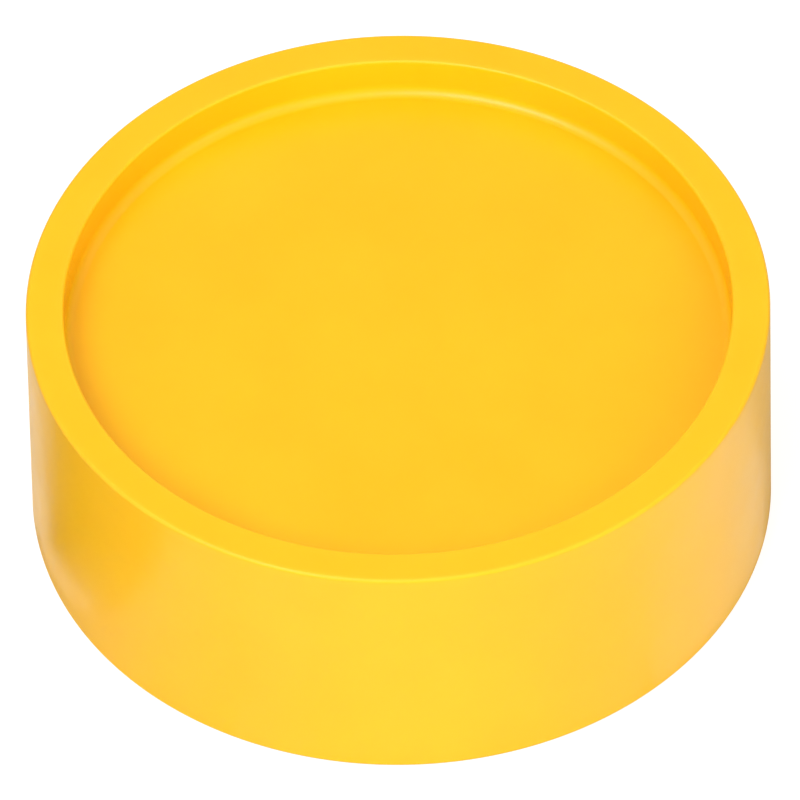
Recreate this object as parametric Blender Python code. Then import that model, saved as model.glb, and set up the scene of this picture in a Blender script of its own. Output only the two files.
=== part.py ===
"""Plain round raised pavement marker: a yellow moulded shell, and the compound cast into it from below.

The shell is one moulding. A skirt carries a crown that lies a little below its thin flat rim, and
under the crown radial ribs join the skirt to a hub tube. Sand-filled compound fills the pocket
between each pair of ribs, and the hub.

Units are metres and +Z is up. The origin is the centre of the circle that stands on the road.
"""

import math

import bmesh
import bpy
from mathutils import Matrix

# Driving dimensions
OUTER_RADIUS = 0.050
HEIGHT = 0.037
RIM_WIDTH = 0.0051
RECESS_DEPTH = 0.006
CROWN_THICKNESS = 0.004
SKIRT_WALL = 0.0042
RIB_COUNT = 8
RIB_THICKNESS = 0.0024
HUB_OUTER_RADIUS = 0.0115
HUB_WALL = 0.0024

# Roundings
EDGE_ROUND = 0.0005
LIP_ROUND = 0.0004
FOOT_ROUND = 0.0005
RECESS_FILLET = 0.0014
POCKET_ROUND = 0.0015

# The foot: the ribs and then the compound stop a little above it, inside a narrow rebate
FOOT_WIDTH = 0.0036
RIB_INSET = 0.0010
POTTING_INSET = 0.0016

# Each pocket narrows towards the crown, and the compound keeps a gap to its walls
POCKET_DRAFT = 0.0004
FIT_GAP = 0.0003

# How far the pockets' cutting shapes reach past the foot
CORE_OVERRUN = 0.0030

# Smoothness
TURN_STEPS = 96
HUB_STEPS = 48
WEDGE_ARC_STEPS = 12
ROUND_STEPS = 4
SMOOTH_ANGLE = math.radians(30)

# Worked out from the above
RECESS_RADIUS = OUTER_RADIUS - RIM_WIDTH
RECESS_FLOOR = HEIGHT - RECESS_DEPTH
CROWN_UNDERSIDE = RECESS_FLOOR - CROWN_THICKNESS
SKIRT_INNER_RADIUS = OUTER_RADIUS - SKIRT_WALL
HUB_INNER_RADIUS = HUB_OUTER_RADIUS - HUB_WALL
RIB_PITCH = math.tau / RIB_COUNT


def clear_scene():
    for item in list(bpy.data.objects):
        bpy.data.objects.remove(item)


def plain_material(name, colour, roughness):
    material = bpy.data.materials.new(name)
    material.use_nodes = True
    shader = material.node_tree.nodes["Principled BSDF"]
    shader.inputs["Base Color"].default_value = (*colour, 1.0)
    shader.inputs["Roughness"].default_value = roughness
    shader.inputs["Metallic"].default_value = 0.0
    return material


def yellow_plastic():
    return plain_material("yellow_plastic", (0.97, 0.60, 0.02), 0.25)


def cast_compound():
    return plain_material("cast_compound", (0.36, 0.34, 0.30), 0.85)


def object_from(bm, name, material=None):
    bmesh.ops.recalc_face_normals(bm, faces=bm.faces)
    mesh = bpy.data.meshes.new(name)
    bm.to_mesh(mesh)
    bm.free()
    if material:
        mesh.materials.append(material)
    mesh.shade_smooth()
    mesh.set_sharp_from_angle(angle=SMOOTH_ANGLE)
    item = bpy.data.objects.new(name, mesh)
    bpy.context.scene.collection.objects.link(item)
    return item


def arc(centre_radius, centre_height, rounding, start_degrees, end_degrees):
    """Points of a rounding in the outline's plane, as (radius, height)."""
    points = []
    for step in range(ROUND_STEPS + 1):
        angle = math.radians(start_degrees + (end_degrees - start_degrees) * step / ROUND_STEPS)
        radius = centre_radius + rounding * math.cos(angle)
        height = centre_height + rounding * math.sin(angle)
        points.append((radius, height))
    return points


def turned_mesh(outline, steps):
    """The outline, as (radius, height) points, turned about Z, with a flat disc closing each end."""
    bm = bmesh.new()
    verts = [bm.verts.new((radius, 0.0, height)) for radius, height in outline]
    edges = [bm.edges.new(pair) for pair in zip(verts, verts[1:])]
    bmesh.ops.spin(
        bm, geom=verts + edges, axis=(0, 0, 1), cent=(0, 0, 0), angle=math.tau, steps=steps, use_merge=True
    )
    bmesh.ops.holes_fill(bm, edges=bm.edges, sides=0)
    return bm


def shell_outline():
    """From the underside's rebate, round the foot, up the skirt, over the rim and down to the crown."""
    foot_inner_radius = OUTER_RADIUS - FOOT_WIDTH
    return [
        (foot_inner_radius, RIB_INSET),
        (foot_inner_radius, 0.0),
        *arc(OUTER_RADIUS - FOOT_ROUND, FOOT_ROUND, FOOT_ROUND, -90, 0),
        *arc(OUTER_RADIUS - EDGE_ROUND, HEIGHT - EDGE_ROUND, EDGE_ROUND, 0, 90),
        *arc(RECESS_RADIUS + LIP_ROUND, HEIGHT - LIP_ROUND, LIP_ROUND, 90, 180),
        *arc(RECESS_RADIUS - RECESS_FILLET, RECESS_FLOOR + RECESS_FILLET, RECESS_FILLET, 0, -90),
    ]


def wedge_outline(inset):
    """Corner and arc points (x, y) of the first pocket, moved inwards by inset on all four sides."""
    half_rib = RIB_THICKNESS / 2 + inset
    points = []
    for radius, way in ((SKIRT_INNER_RADIUS - inset, 1), (HUB_OUTER_RADIUS + inset, -1)):
        start = math.asin(half_rib / radius)
        end = RIB_PITCH - start
        for step in range(WEDGE_ARC_STEPS + 1):
            share = step / WEDGE_ARC_STEPS
            angle = start + (end - start) * (share if way > 0 else 1 - share)
            points.append((radius * math.cos(angle), radius * math.sin(angle)))
    return points


def wedge_mesh(index, bottom, top, bottom_inset, top_inset, rounding):
    """A pocket-shaped block between two heights, with its four upright corners rounded."""
    bm = bmesh.new()
    loops = []
    for height, inset in ((bottom, bottom_inset), (top, top_inset)):
        verts = [bm.verts.new((x, y, height)) for x, y in wedge_outline(inset)]
        bm.faces.new(verts)
        loops.append(verts)
    lower, upper = loops
    count = len(lower)
    uprights = []
    for i in range(count):
        following = (i + 1) % count
        bm.faces.new((lower[i], lower[following], upper[following], upper[i]))
        uprights.append(bm.edges.get((lower[i], upper[i])))
    arc_points = WEDGE_ARC_STEPS + 1
    corners = [uprights[i] for i in (0, arc_points - 1, arc_points, 2 * arc_points - 1)]
    bmesh.ops.bevel(
        bm,
        geom=corners,
        offset=rounding,
        offset_type="OFFSET",
        segments=ROUND_STEPS,
        profile=0.5,
        affect="EDGES",
    )
    turn = Matrix.Rotation((index - 1) * RIB_PITCH, 3, "Z")
    bmesh.ops.rotate(bm, verts=bm.verts, cent=(0, 0, 0), matrix=turn)
    return bm


def hub_mesh(radius, bottom, top):
    return turned_mesh([(radius, bottom), (radius, top)], HUB_STEPS)


def pocket_cores():
    """The shapes that the ribs' pockets and the hub's bore are cut with, hidden in a collection."""
    cores = bpy.data.collections.new("pocket_cores")
    bpy.context.scene.collection.children.link(cores)
    # The draft is stated at the foot and at the crown, so it is carried on in a line below the foot.
    overrun_inset = -POCKET_DRAFT * CORE_OVERRUN / CROWN_UNDERSIDE
    meshes = [
        wedge_mesh(index, -CORE_OVERRUN, CROWN_UNDERSIDE, overrun_inset, POCKET_DRAFT, POCKET_ROUND)
        for index in range(1, RIB_COUNT + 1)
    ]
    meshes.append(hub_mesh(HUB_INNER_RADIUS, -CORE_OVERRUN, CROWN_UNDERSIDE))
    for number, bm in enumerate(meshes):
        core = object_from(bm, f"pocket_core_{number}")
        core.hide_render = True
        core.display_type = "WIRE"
        bpy.context.scene.collection.objects.unlink(core)
        cores.objects.link(core)
    return cores


def marker_shell(material):
    shell = object_from(turned_mesh(shell_outline(), TURN_STEPS), "marker_shell", material)
    cut = shell.modifiers.new("pockets", "BOOLEAN")
    cut.operation = "DIFFERENCE"
    cut.solver = "EXACT"
    cut.operand_type = "COLLECTION"
    cut.collection = pocket_cores()
    return shell


def potting_wedge(index, material):
    """One pocket's compound, a gap smaller than its pocket on every side."""
    bottom_inset = FIT_GAP + POCKET_DRAFT * POTTING_INSET / CROWN_UNDERSIDE
    top = CROWN_UNDERSIDE - FIT_GAP
    bm = wedge_mesh(index, POTTING_INSET, top, bottom_inset, FIT_GAP + POCKET_DRAFT, POCKET_ROUND - FIT_GAP)
    return object_from(bm, f"potting_wedge_{index}", material)


def hub_plug(material):
    bm = hub_mesh(HUB_INNER_RADIUS - FIT_GAP, POTTING_INSET, CROWN_UNDERSIDE - FIT_GAP)
    return object_from(bm, "hub_plug", material)


def main():
    clear_scene()
    marker_shell(yellow_plastic())
    compound = cast_compound()
    for index in range(1, RIB_COUNT + 1):
        potting_wedge(index, compound)
    hub_plug(compound)


main()
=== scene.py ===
"""Looks of a plain round raised pavement marker: a glossy yellow moulding, cast full from below.

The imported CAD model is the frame. Every length is in metres, +Z is up, and the marker stands on
the floor at the origin.
"""

import math
import random

import bmesh
import bpy
from mathutils import Matrix, Vector, geometry, noise


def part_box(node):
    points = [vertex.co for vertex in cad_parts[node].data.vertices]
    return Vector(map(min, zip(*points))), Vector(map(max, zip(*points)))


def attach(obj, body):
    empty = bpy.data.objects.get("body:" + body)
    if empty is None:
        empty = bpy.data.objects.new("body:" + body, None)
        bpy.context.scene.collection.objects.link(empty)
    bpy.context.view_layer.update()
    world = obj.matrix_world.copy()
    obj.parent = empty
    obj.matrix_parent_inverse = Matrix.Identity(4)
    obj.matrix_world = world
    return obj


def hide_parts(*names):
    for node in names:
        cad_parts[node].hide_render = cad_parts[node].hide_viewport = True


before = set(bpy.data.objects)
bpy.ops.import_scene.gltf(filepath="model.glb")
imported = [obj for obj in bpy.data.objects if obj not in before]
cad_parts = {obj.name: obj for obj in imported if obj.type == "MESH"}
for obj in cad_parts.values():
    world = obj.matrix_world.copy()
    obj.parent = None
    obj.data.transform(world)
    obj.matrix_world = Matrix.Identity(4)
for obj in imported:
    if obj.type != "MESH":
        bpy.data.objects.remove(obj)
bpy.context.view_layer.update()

MM = 0.001

# Sizes read from the frame, where the compound keeps a gap to its pocket
FIT_GAP = 0.3 * MM
OUTER_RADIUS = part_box("marker_shell")[1].x
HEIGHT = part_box("marker_shell")[1].z
CROWN_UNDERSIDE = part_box("hub_plug")[1].z + FIT_GAP
HUB_INNER_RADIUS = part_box("hub_plug")[1].x + FIT_GAP

# Sizes of the moulding, as in the CAD model
RIM_WIDTH = 5.1 * MM
RECESS_DEPTH = 6.0 * MM
SKIRT_WALL = 4.2 * MM
FOOT_WIDTH = 3.6 * MM
RIB_COUNT = 8
RIB_THICKNESS = 2.4 * MM
HUB_WALL = 2.4 * MM
RIB_INSET = 1.0 * MM
POCKET_DRAFT = 0.4 * MM
EDGE_ROUND = 0.5 * MM
LIP_ROUND = 0.4 * MM
FOOT_ROUND = 0.5 * MM
RECESS_FILLET = 1.4 * MM
POCKET_ROUND = 1.5 * MM

# Finer roundings that only the visual model has
RIB_EDGE_ROUND = 0.3 * MM
CROWN_FILLET = 1.0 * MM

# Where the pockets' cutting shapes start
BELOW_FOOT = -2.0 * MM

# The compound fills each pocket to its walls, and its poured surface is what shows from below
CAST_GAP = 0.02 * MM
CAST_LEVEL = 1.6 * MM
CAST_GRID = 0.6 * MM
GRID_SHAKE = 0.25 * CAST_GRID
GRID_CLEAR_OF_WALL = CAST_GAP + 0.6 * CAST_GRID
MENISCUS_RISE = 0.35 * MM
MENISCUS_WIDTH = 1.1 * MM
SETTLING = 0.16 * MM
SLOW_WAVES = 7.0 * MM
QUICK_WAVES = 1.4 * MM
SANDY_WAVES = 0.7 * MM
QUICK_SHARE = 0.35
SANDY_SHARE = 0.25
BUBBLES_PER_BLOCK = 9
SMALLEST_BUBBLE_MM = 0.5
LARGEST_BUBBLE_MM = 1.3
BUBBLE_CLEAR_OF_WALL = 2.0 * MM
BUBBLE_DEPTH_SHARE = 0.6

# How the poured surface is triangulated
TRIANGLES_INSIDE = 1
SAME_POINT = 0.001 * MM

RECESS_RADIUS = OUTER_RADIUS - RIM_WIDTH
RECESS_FLOOR = HEIGHT - RECESS_DEPTH
SKIRT_INNER_RADIUS = OUTER_RADIUS - SKIRT_WALL
HUB_OUTER_RADIUS = HUB_INNER_RADIUS + HUB_WALL
RIB_PITCH = math.tau / RIB_COUNT

TURN_STEPS = 384
ARC_STEPS = 10
POCKET_ARC_STEPS = 36
HUB_ARC_STEPS = 12
CORNER_STEPS = 6
SMALL_ROUND_STEPS = 4
CROWN_FILLET_STEPS = 5
HUB_STEPS = TURN_STEPS // 4
SMOOTH_ANGLE = math.radians(35)


# ---------------------------------------------------------------- geometry helpers


def object_from(bm, name):
    bmesh.ops.recalc_face_normals(bm, faces=bm.faces)
    mesh = bpy.data.meshes.new(name)
    bm.to_mesh(mesh)
    bm.free()
    mesh.shade_smooth()
    item = bpy.data.objects.new(name, mesh)
    bpy.context.scene.collection.objects.link(item)
    return item


def evaluated_mesh(item):
    """The mesh that the object's modifiers make."""
    bpy.context.view_layer.update()
    depsgraph = bpy.context.evaluated_depsgraph_get()
    return bpy.data.meshes.new_from_object(item.evaluated_get(depsgraph), depsgraph=depsgraph)


def arc(centre_radius, centre_height, rounding, start_degrees, end_degrees, steps=ARC_STEPS):
    """Points of a rounding in a turned outline's plane, as (radius, height)."""
    points = []
    for step in range(steps + 1):
        angle = math.radians(start_degrees + (end_degrees - start_degrees) * step / steps)
        radius = centre_radius + rounding * math.cos(angle)
        height = centre_height + rounding * math.sin(angle)
        points.append((radius, height))
    return points


def turned_mesh(outline, steps=TURN_STEPS):
    """The outline, as (radius, height) points, turned about Z, with a flat disc closing each end."""
    bm = bmesh.new()
    verts = [bm.verts.new((radius, 0.0, height)) for radius, height in outline]
    edges = [bm.edges.new(pair) for pair in zip(verts, verts[1:])]
    bmesh.ops.spin(
        bm,
        geom=verts + edges,
        axis=(0, 0, 1),
        cent=(0, 0, 0),
        angle=math.tau,
        steps=steps,
        use_merge=True,
    )
    bmesh.ops.holes_fill(bm, edges=bm.edges, sides=0)
    return bm


def pocket_outline(inset):
    """The pocket between the first two ribs, moved inwards by inset, as (x, y) points anticlockwise."""
    skirt_radius = SKIRT_INNER_RADIUS - inset
    hub_radius = HUB_OUTER_RADIUS + inset
    centre_y = RIB_THICKNESS / 2 + inset + POCKET_ROUND
    along_rib = []
    for radius, side in ((hub_radius, 1), (skirt_radius, -1)):
        centre_x = math.sqrt((radius + side * POCKET_ROUND) ** 2 - centre_y**2)
        outward = math.atan2(centre_y, centre_x)
        start, end = (outward + math.pi, math.tau * 0.75) if side > 0 else (-math.pi / 2, outward)
        for step in range(CORNER_STEPS + 1):
            angle = start + (end - start) * step / CORNER_STEPS
            x = centre_x + POCKET_ROUND * math.cos(angle)
            y = centre_y + POCKET_ROUND * math.sin(angle)
            along_rib.append((x, y))
    along_next_rib = [mirrored_in_pocket(point) for point in reversed(along_rib)]
    along_skirt = between(along_rib[-1], skirt_radius, POCKET_ARC_STEPS)
    along_hub = between(along_next_rib[-1], hub_radius, HUB_ARC_STEPS)
    return along_rib + along_skirt + along_next_rib + along_hub


def mirrored_in_pocket(point):
    """The point's mirror image in the pocket's middle line."""
    angle = RIB_PITCH - math.atan2(point[1], point[0])
    radius = math.hypot(*point)
    return radius * math.cos(angle), radius * math.sin(angle)


def between(point, radius, steps):
    """Points on the circle strictly between a point and its mirror image in the pocket."""
    start = math.atan2(point[1], point[0])
    end = RIB_PITCH - start
    angles = [start + (end - start) * step / steps for step in range(1, steps)]
    return [(radius * math.cos(angle), radius * math.sin(angle)) for angle in angles]


def turned_about_z(bm, angle):
    bmesh.ops.rotate(bm, verts=bm.verts, cent=(0, 0, 0), matrix=Matrix.Rotation(angle, 3, "Z"))
    return bm


def lofted_pocket(index, sections):
    """A closed solid through the outline of one pocket at each (height, inset)."""
    bm = bmesh.new()
    loops = [
        [bm.verts.new((x, y, height)) for x, y in pocket_outline(inset)] for height, inset in sections
    ]
    for lower, upper in zip(loops, loops[1:]):
        for i in range(len(lower)):
            following = (i + 1) % len(lower)
            bm.faces.new((lower[i], lower[following], upper[following], upper[i]))
    bm.faces.new(list(reversed(loops[0])))
    bm.faces.new(loops[-1])
    return turned_about_z(bm, (index - 1) * RIB_PITCH)


def core_sections(draft):
    """(height, inset) from below the foot, over the ribs' rounded edges, up to the filleted crown."""
    flare = RIB_EDGE_ROUND
    rib_edge = arc(-flare, RIB_INSET + flare, flare, -90, 0, steps=SMALL_ROUND_STEPS)
    crown_corner = crown_fillet(draft, CROWN_UNDERSIDE)
    return [(BELOW_FOOT, -flare)] + [(height, inset) for inset, height in rib_edge + crown_corner]


def crown_fillet(inset, top):
    """The rounding between a pocket's wall and its top, as (inset, height)."""
    return arc(inset + CROWN_FILLET, top - CROWN_FILLET, CROWN_FILLET, 180, 90, steps=CROWN_FILLET_STEPS)


# ---------------------------------------------------------------- pieces


def shell_outline():
    """From the underside's rebate, round the foot, up the skirt, over the rim and down to the crown."""
    foot_inner_radius = OUTER_RADIUS - FOOT_WIDTH
    small = RIB_EDGE_ROUND
    return [
        (foot_inner_radius, RIB_INSET),
        *arc(foot_inner_radius + small, small, small, 180, 270, steps=SMALL_ROUND_STEPS),
        *arc(OUTER_RADIUS - FOOT_ROUND, FOOT_ROUND, FOOT_ROUND, -90, 0),
        *arc(OUTER_RADIUS - EDGE_ROUND, HEIGHT - EDGE_ROUND, EDGE_ROUND, 0, 90),
        *arc(RECESS_RADIUS + LIP_ROUND, HEIGHT - LIP_ROUND, LIP_ROUND, 90, 180),
        *arc(RECESS_RADIUS - RECESS_FILLET, RECESS_FLOOR + RECESS_FILLET, RECESS_FILLET, 0, -90),
    ]


def hub_core():
    outline = [(HUB_INNER_RADIUS - inset, height) for height, inset in core_sections(0.0)]
    return turned_mesh(outline, HUB_STEPS)


def marker_shell_moulding(material):
    shell = object_from(turned_mesh(shell_outline()), "shell_moulding")
    cores = [
        object_from(lofted_pocket(index, core_sections(POCKET_DRAFT)), f"pocket_core_{index}")
        for index in range(1, RIB_COUNT + 1)
    ]
    cores.append(object_from(hub_core(), "hub_core"))
    collection = bpy.data.collections.new("cores")
    bpy.context.scene.collection.children.link(collection)
    for core in cores:
        bpy.context.scene.collection.objects.unlink(core)
        collection.objects.link(core)
    cut = shell.modifiers.new("pockets", "BOOLEAN")
    cut.operation = "DIFFERENCE"
    cut.solver = "EXACT"
    cut.operand_type = "COLLECTION"
    cut.collection = collection
    shell.data = evaluated_mesh(shell)
    shell.modifiers.clear()
    for core in cores:
        bpy.data.objects.remove(core)
    bpy.data.collections.remove(collection)
    shell.data.set_sharp_from_angle(angle=SMOOTH_ANGLE)
    even = shell.modifiers.new("even_normals", "WEIGHTED_NORMAL")
    even.keep_sharp = True
    shell.data.materials.clear()
    shell.data.materials.append(material)
    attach(shell, "root")
    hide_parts("marker_shell")


def pocket_edge_distance(x, y):
    """How far a point in the first pocket is from the nearest of its four walls."""
    radius = math.hypot(x, y)
    beside_second_rib = x * math.sin(RIB_PITCH) - y * math.cos(RIB_PITCH)
    return min(
        y - RIB_THICKNESS / 2,
        beside_second_rib - RIB_THICKNESS / 2,
        SKIRT_INNER_RADIUS - radius,
        radius - HUB_OUTER_RADIUS,
    )


def hub_edge_distance(x, y):
    return HUB_INNER_RADIUS - math.hypot(x, y)


def hub_outline(inset):
    radius = HUB_INNER_RADIUS - inset
    angles = [math.tau * step / HUB_STEPS for step in range(HUB_STEPS)]
    return [(radius * math.cos(angle), radius * math.sin(angle)) for angle in angles]


def grid_inside(outline, edge_distance, draws):
    """Points of a shaken grid over the outline, a little clear of its walls."""
    xs = [x for x, y in outline]
    ys = [y for x, y in outline]
    points = []
    for column in range(int((max(xs) - min(xs)) / CAST_GRID)):
        for row in range(int((max(ys) - min(ys)) / CAST_GRID)):
            x = min(xs) + (column + 0.5 * (row % 2)) * CAST_GRID + draws.uniform(-GRID_SHAKE, GRID_SHAKE)
            y = min(ys) + row * CAST_GRID + draws.uniform(-GRID_SHAKE, GRID_SHAKE)
            if edge_distance(x, y) > GRID_CLEAR_OF_WALL:
                points.append((x, y))
    return points


def bubbles_among(points, edge_distance, draws):
    """Burst air bubbles in the poured surface, as (x, y, radius)."""
    away_from_wall = [point for point in points if edge_distance(*point) > BUBBLE_CLEAR_OF_WALL]
    centres = draws.sample(away_from_wall, BUBBLES_PER_BLOCK)
    return [(x, y, draws.uniform(SMALLEST_BUBBLE_MM, LARGEST_BUBBLE_MM) * MM) for x, y in centres]


def poured_height(x, y, distance, bubbles, offset):
    """The poured surface: settled unevenly, drawn towards the foot at the walls, and pitted."""
    place = Vector((x, y, offset))
    slow = noise.noise(place / SLOW_WAVES)
    quick = noise.noise(place / QUICK_WAVES)
    sandy = noise.noise(place / SANDY_WAVES)
    height = CAST_LEVEL + SETTLING * (slow + QUICK_SHARE * quick + SANDY_SHARE * sandy)
    height -= MENISCUS_RISE * math.exp(-distance / MENISCUS_WIDTH)
    for centre_x, centre_y, radius in bubbles:
        away = math.hypot(x - centre_x, y - centre_y)
        if away < radius:
            height += BUBBLE_DEPTH_SHARE * math.sqrt(radius**2 - away**2)
    return height


def cast_block(name, node_name, outline_at, edge_distance, draft, turn, material):
    """One pocket's compound: walls that follow the pocket, and a poured surface at the foot."""
    draws = random.Random(node_name)
    outline = outline_at(CAST_GAP)
    inside = grid_inside(outline, edge_distance, draws)
    bubbles = bubbles_among(inside, edge_distance, draws)
    flat = [Vector(point) for point in outline + inside]
    ring = list(range(len(outline)))
    rim_edges = list(zip(ring, ring[1:] + ring[:1]))
    triangulated = geometry.delaunay_2d_cdt(flat, rim_edges, [], TRIANGLES_INSIDE, SAME_POINT)
    places, _, triangles, sources, _, _ = triangulated
    bm = bmesh.new()
    cap = []
    for place in places:
        distance = max(edge_distance(*place), 0.0)
        height = poured_height(place.x, place.y, distance, bubbles, turn)
        cap.append(bm.verts.new((place.x, place.y, height)))
    for triangle in triangles:
        bm.faces.new([cap[corner] for corner in triangle])
    from_input = {source: index for index, group in enumerate(sources) for source in group}
    lower = [cap[from_input[index]] for index in ring]
    top = CROWN_UNDERSIDE - CAST_GAP
    for inset, height in crown_fillet(draft + CAST_GAP, top):
        upper = [bm.verts.new((x, y, height)) for x, y in outline_at(inset)]
        for i in ring:
            following = (i + 1) % len(ring)
            bm.faces.new((lower[i], lower[following], upper[following], upper[i]))
        lower = upper
    bm.faces.new(lower)
    block = object_from(turned_about_z(bm, turn), name)
    block.data.set_sharp_from_angle(angle=SMOOTH_ANGLE)
    block.data.materials.append(material)
    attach(block, "root")
    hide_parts(node_name)


def cast_blocks(material):
    for index in range(1, RIB_COUNT + 1):
        cast_block(
            f"compound_block_{index}",
            f"potting_wedge_{index}",
            pocket_outline,
            pocket_edge_distance,
            POCKET_DRAFT,
            (index - 1) * RIB_PITCH,
            material,
        )
    cast_block("compound_block_hub", "hub_plug", hub_outline, hub_edge_distance, 0.0, 0.0, material)


# ---------------------------------------------------------------- materials

# Where most of a noise's values lie
NOISE_MIDDLE = (0.3, 0.7)


class Nodes:
    """A material's node tree, with short ways to add and join nodes."""

    def __init__(self, name):
        self.material = bpy.data.materials.new(name)
        self.material.use_nodes = True
        self.tree = self.material.node_tree
        self.shader = self.tree.nodes["Principled BSDF"]

    def add(self, kind, inputs=None, **settings):
        """A new node of the kind, with its inputs fed and its settings made."""
        node = self.tree.nodes.new(kind)
        for name, value in settings.items():
            setattr(node, name, value)
        for socket, value in (inputs or {}).items():
            self.feed(node.inputs[socket], value)
        return node

    def feed(self, socket, value):
        """Join a socket to another, or set it to a number, colour or vector."""
        if isinstance(value, bpy.types.NodeSocket):
            self.tree.links.new(value, socket)
        else:
            socket.default_value = value

    def math(self, operation, first, second=0.0):
        node = self.add("ShaderNodeMath", {0: first, 1: second}, operation=operation)
        return node.outputs[0]

    def noise(self, where, size, detail=2.0, roughness=0.5):
        """Noise whose blotches are about size across, from 0 to 1."""
        node = self.add(
            "ShaderNodeTexNoise",
            {"Vector": where, "Scale": 1 / size, "Detail": detail, "Roughness": roughness},
        )
        return node.outputs["Fac"]

    def spread(self, value, from_low, from_high, to_low=0.0, to_high=1.0):
        """The value carried over from one range to another, and held at the second one's ends."""
        node = self.add(
            "ShaderNodeMapRange",
            {"Value": value, 1: from_low, 2: from_high, 3: to_low, 4: to_high},
        )
        return node.outputs[0]

    def mix(self, share, first, second):
        """The first colour where share is 0, and the second where it is 1."""
        node = self.add("ShaderNodeMix", data_type="RGBA")
        self.feed(node.inputs["Factor"], share)
        self.feed(node.inputs[6], first)
        self.feed(node.inputs[7], second)
        return node.outputs[2]

    def bump(self, height, distance, normal=None):
        """The normal of a surface on which a height of 1 stands out by the distance."""
        node = self.add("ShaderNodeBump", {"Height": height, "Distance": distance, "Strength": 1.0})
        if normal:
            self.feed(node.inputs["Normal"], normal)
        return node.outputs["Normal"]


def yellow_plastic():
    """Glossy injection-moulded plastic: faint orange peel, hairline scratches and softly worn edges."""
    pale = (0.95, 0.500, 0.005, 1.0)
    deep = (0.92, 0.478, 0.003, 1.0)
    scuffed = (0.95, 0.52, 0.010, 1.0)
    scuffing = 0.35
    smooth, smudged = 0.28, 0.36
    worn_adds, scratched_adds = 0.20, 0.10
    peel_height = 0.012 * MM
    scratch_depth = 0.002 * MM

    n = Nodes("yellow_plastic")
    where = n.add("ShaderNodeTexCoord").outputs["Object"]
    patches = n.spread(n.noise(where, 2.5 * MM), 0.35, 0.65, to_low=0.3)
    worn = n.math("MULTIPLY", near_edges(n, where), patches)
    scratched = hairlines(n, where)

    cloud = n.noise(where, 14 * MM, detail=3.0)
    colour = n.mix(n.spread(cloud, *NOISE_MIDDLE), deep, pale)
    colour = n.mix(n.math("MULTIPLY", worn, scuffing), colour, scuffed)
    n.feed(n.shader.inputs["Base Color"], colour)

    smudge = n.noise(where, 9 * MM, detail=4.0, roughness=0.6)
    roughness = n.spread(smudge, *NOISE_MIDDLE, smooth, smudged)
    roughness = n.math("ADD", roughness, n.math("MULTIPLY", worn, worn_adds))
    roughness = n.math("ADD", roughness, n.math("MULTIPLY", scratched, scratched_adds))
    n.feed(n.shader.inputs["Roughness"], roughness)

    peel = n.noise(where, 2.2 * MM, detail=1.0)
    normal = n.bump(peel, peel_height)
    normal = n.bump(n.math("SUBTRACT", 1.0, scratched), scratch_depth, normal)
    n.feed(n.shader.inputs["Normal"], normal)
    n.shader.inputs["IOR"].default_value = 1.5
    n.shader.inputs["Subsurface Weight"].default_value = 0.12
    n.shader.inputs["Subsurface Radius"].default_value = (1.0, 0.5, 0.1)
    n.shader.inputs["Subsurface Scale"].default_value = 0.8 * MM
    return n.material


def near_edges(n, where):
    """1 on the moulding's three outer edges, falling to 0 a little way from them."""
    worn_through, unworn = 0.3 * MM, 1.2 * MM
    edges = ((OUTER_RADIUS, HEIGHT), (RECESS_RADIUS, HEIGHT), (OUTER_RADIUS, 0.0))
    split = n.add("ShaderNodeSeparateXYZ", {0: where}).outputs
    radius = length_of(n, split["X"], split["Y"])
    nearest = None
    for edge_radius, edge_height in edges:
        across = n.math("SUBTRACT", radius, edge_radius)
        above = n.math("SUBTRACT", split["Z"], edge_height)
        away = length_of(n, across, above)
        nearest = n.math("MINIMUM", nearest, away) if nearest else away
    return n.spread(nearest, worn_through, unworn, 1.0, 0.0)


def length_of(n, first_side, second_side):
    """The long side of a right-angled triangle."""
    squares = [n.math("MULTIPLY", side, side) for side in (first_side, second_side)]
    return n.math("SQRT", n.math("ADD", *squares))


def hairlines(n, where):
    """Sparse fine scratches in three directions, 1 on a scratch and 0 beside it."""
    width = 0.2 * MM
    beside, on_scratch = 0.70, 0.76
    scratched = None
    for turn, length in ((20, 16 * MM), (75, 11 * MM), (140, 21 * MM)):
        rotation = (0.0, 0.0, math.radians(turn))
        scale = (1.0, width / length, 1.0)
        placed = {"Vector": where, "Rotation": rotation, "Scale": scale}
        stretched = n.add("ShaderNodeMapping", placed, vector_type="TEXTURE").outputs[0]
        line = n.spread(n.noise(stretched, width, detail=0.0), beside, on_scratch)
        scratched = n.math("MAXIMUM", scratched, line) if scratched else line
    return scratched


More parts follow.
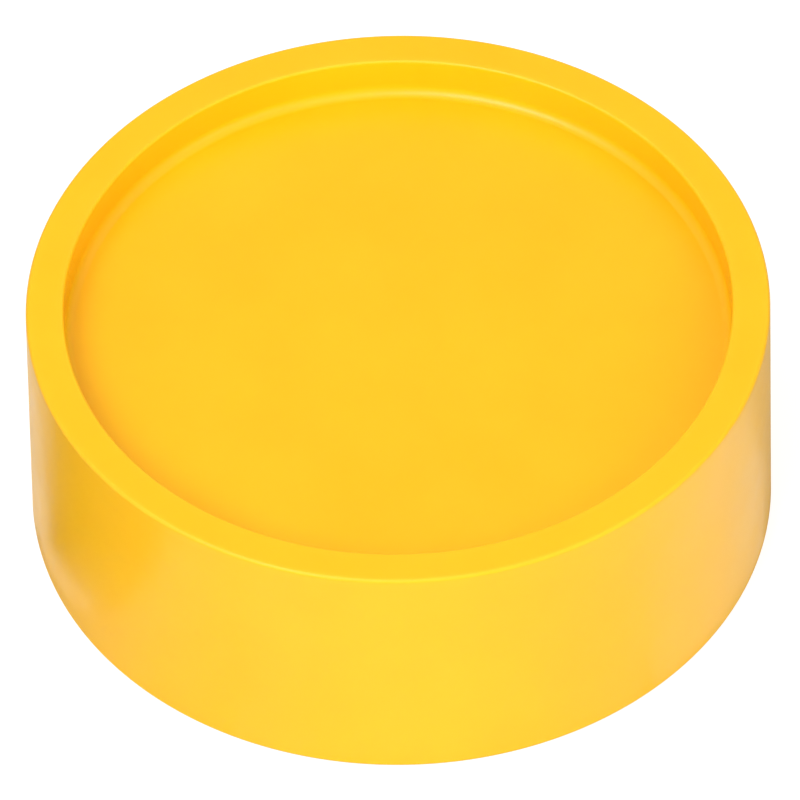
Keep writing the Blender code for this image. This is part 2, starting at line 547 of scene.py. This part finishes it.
def cast_compound():
    """Resin filled with sand: pale, brown and dark grains of under a millimetre in a dull grey binder."""
    pale_grain = (0.62, 0.57, 0.47, 1.0)
    brown_grain = (0.30, 0.22, 0.14, 1.0)
    dark_grain = (0.10, 0.10, 0.10, 1.0)
    binder_dark = (0.29, 0.27, 0.24, 1.0)
    binder_pale = (0.41, 0.39, 0.35, 1.0)
    binder_dust = (0.55, 0.52, 0.46, 1.0)
    grain_spacing = 0.8 * MM
    grain_height = 0.10 * MM
    dust_height = 0.04 * MM

    n = Nodes("cast_compound")
    where = n.add("ShaderNodeTexCoord").outputs["Object"]
    grain_inputs = {"Vector": where, "Scale": 1 / grain_spacing, "Randomness": 1.0}
    grains = n.add("ShaderNodeTexVoronoi", grain_inputs)
    # Each grain's three draws say how far it shows, whether it is brown and whether it is dark.
    each = n.add("ShaderNodeSeparateColor", {0: grains.outputs["Color"]}).outputs
    on_grain = n.spread(grains.outputs["Distance"], 0.42, 0.55, 1.0, 0.0)
    shows = n.math("MULTIPLY", on_grain, n.spread(each["Red"], 0.20, 0.35))
    grain_colour = n.mix(n.spread(each["Green"], 0.45, 0.65), pale_grain, brown_grain)
    grain_colour = n.mix(n.spread(each["Blue"], 0.90, 0.94), grain_colour, dark_grain)

    dust = n.noise(where, 0.25 * MM, detail=3.0)
    patch = n.noise(where, 9 * MM, detail=3.0)
    binder = n.mix(n.spread(patch, *NOISE_MIDDLE), binder_dark, binder_pale)
    binder = n.mix(n.spread(dust, 0.35, 0.7, to_high=0.5), binder, binder_dust)
    n.feed(n.shader.inputs["Base Color"], n.mix(shows, binder, grain_colour))
    n.feed(n.shader.inputs["Roughness"], n.spread(patch, *NOISE_MIDDLE, 0.62, 0.88))

    normal = n.bump(n.math("MULTIPLY", on_grain, each["Red"]), grain_height)
    normal = n.bump(dust, dust_height, normal)
    n.feed(n.shader.inputs["Normal"], normal)
    return n.material


def plain_card(name, brightness, glow=0.0):
    """A material for paper or card, with no gloss, which may glow a little."""
    n = Nodes(name)
    n.shader.inputs["Base Color"].default_value = (brightness, brightness, brightness, 1.0)
    n.shader.inputs["Roughness"].default_value = 0.9
    n.shader.inputs["Specular IOR Level"].default_value = 0.0
    n.shader.inputs["Emission Color"].default_value = (1.0, 1.0, 1.0, 1.0)
    n.shader.inputs["Emission Strength"].default_value = glow
    return n.material


# ---------------------------------------------------------------- studio


def flat_card(name, corners, height, material):
    """A flat sheet for the studio that lies level at the height. Corners are (x, y)."""
    bm = bmesh.new()
    bm.faces.new([bm.verts.new((x, y, height)) for x, y in corners])
    card = object_from(bm, name)
    card.data.materials.append(material)
    return card


def studio_floor():
    """White paper that only the camera sees, over a grey table that lights the marker's sides."""
    reach = 6.0
    table_height = -0.5 * MM
    square = [(-reach, -reach), (reach, -reach), (reach, reach), (-reach, reach)]
    paper_look = plain_card("floor_paper", brightness=0.42, glow=0.70)
    paper = flat_card("studio_floor", square, 0.0, paper_look)
    paper.visible_diffuse = False
    paper.visible_glossy = False
    paper.visible_shadow = False
    table = flat_card("studio_table", square, table_height, plain_card("table_grey", brightness=0.52))
    table.visible_camera = False


def direction(azimuth, elevation):
    """The way to a light or the camera, in degrees. Azimuth 0 is the front, at -Y, and 90 is +X."""
    a = math.radians(azimuth)
    e = math.radians(elevation)
    return Vector((math.sin(a) * math.cos(e), -math.cos(a) * math.cos(e), math.sin(e)))


def beside_marker(first_azimuth, last_azimuth):
    """Points in mm on the floor along the foot of the marker, from one azimuth down to another."""
    clearance = 0.3
    step = 4
    foot_radius = OUTER_RADIUS / MM + clearance
    azimuths = range(first_azimuth, last_azimuth, -step)
    feet = [direction(azimuth, 0.0) * foot_radius for azimuth in azimuths]
    return [(foot.x, foot.y) for foot in feet]


def reflected_card(name, corners, height, brightness, glow=0.0):
    """A card that only shows as a reflection in the marker's side, a painted reflection. Its corners are
    in mm.
    """
    places = [(x * MM, y * MM) for x, y in corners]
    card = flat_card(name, places, height, plain_card(name, brightness, glow))
    card.visible_camera = False
    card.visible_diffuse = False
    card.visible_shadow = False


def reflected_cards():
    """Painted reflections for the sides: glowing white cards round the left, front and right, which stand
    in for a brighter floor, and a black one over the left one, which is painted shade standing in for a
    shadow on the floor beside the marker.
    """
    white_height = 0.3 * MM
    painted_shade_height = 0.6 * MM
    # Each white card glows though it is no lamp: a painted reflection of a bright floor in the marker's
    # sides.
    left = [(-100, -30), (-100, 80), (-50.5, 20), (-50.3, -8), (-47, -24)]
    right = beside_marker(78, 40) + [(100, -46), (100, 10), (56, 2)]
    front = beside_marker(40, -32) + [(-60, -90), (100, -90), (100, -46)]
    # The black card is painted shade: it stands in for a shadow on the floor that the marker's left side
    # reflects.
    black = [(-52, -10), (-70, 12), (-100, 45), (-100, -83), (-62, -46), (-49, -31)]
    reflected_card("white_card_left", left, white_height, brightness=0.54, glow=0.45)
    reflected_card("white_card_right", right, white_height, brightness=0.52, glow=0.43)
    reflected_card("white_card_front", front, white_height, brightness=0.40, glow=0.33)
    reflected_card("painted_shade_card", black, painted_shade_height, brightness=0.03)


def softbox(name, azimuth, elevation, distance, size, share, reflected=False):
    """A square light whose light on a surface that faces it is share times what turns pure white to 1."""
    data = bpy.data.lights.new(name, "AREA")
    data.shape = "SQUARE"
    data.size = size
    half_width = size / 2 / distance
    seen_half = half_width / math.sqrt(1 + half_width**2)
    seen = 4 / math.pi * seen_half * math.atan(seen_half)
    data.energy = share * math.pi * size**2 / seen
    light = bpy.data.objects.new(name, data)
    bpy.context.scene.collection.objects.link(light)
    way = direction(azimuth, elevation)
    light.location = way * distance
    light.rotation_euler = way.to_track_quat("Z", "Y").to_euler()
    light.visible_camera = False
    light.visible_glossy = reflected


def softboxes():
    """A large light overhead, a key at the front left that shines in the gloss, and weaker ones round."""
    softbox("overhead", azimuth=0.0, elevation=90.0, distance=1.6, size=3.2, share=0.40)
    softbox("key", azimuth=-34.0, elevation=50.0, distance=1.5, size=0.85, share=0.47, reflected=True)
    softbox("right", azimuth=54.0, elevation=30.0, distance=1.5, size=0.95, share=0.28)
    softbox("left", azimuth=-58.0, elevation=35.0, distance=1.5, size=0.90, share=0.06)
    softbox("front", azimuth=0.0, elevation=7.0, distance=2.5, size=0.55, share=0.39)
    softbox("back", azimuth=180.0, elevation=7.0, distance=2.5, size=0.55, share=0.40)


def surroundings(level):
    """An even white glow from all round."""
    world = bpy.data.worlds.new("studio")
    world.use_nodes = True
    background = world.node_tree.nodes["Background"]
    background.inputs["Color"].default_value = (1.0, 1.0, 1.0, 1.0)
    background.inputs["Strength"].default_value = level
    bpy.context.scene.world = world


def camera():
    """The photograph's view: a long lens from the front and above, and turned a little on its axis."""
    elevation = 47.5
    distance = 3.2
    turned = math.radians(-1.2)
    aim = Vector((0.02 * MM, 0.0, 18.1 * MM))
    data = bpy.data.cameras.new("camera")
    data.sensor_width = 36.0
    data.lens = 1068.0
    data.clip_end = 20.0
    item = bpy.data.objects.new("camera", data)
    bpy.context.scene.collection.objects.link(item)
    way = direction(0.0, elevation)
    item.location = aim + way * distance
    roll = Matrix.Rotation(turned, 4, "Z")
    facing = way.to_track_quat("Z", "Y").to_matrix().to_4x4()
    item.rotation_euler = (facing @ roll).to_euler()
    bpy.context.scene.camera = item


camera()
marker_shell_moulding(yellow_plastic())
cast_blocks(cast_compound())
studio_floor()
reflected_cards()
surroundings(level=0.28)
softboxes()
bpy.context.scene.view_settings.view_transform = "Standard"
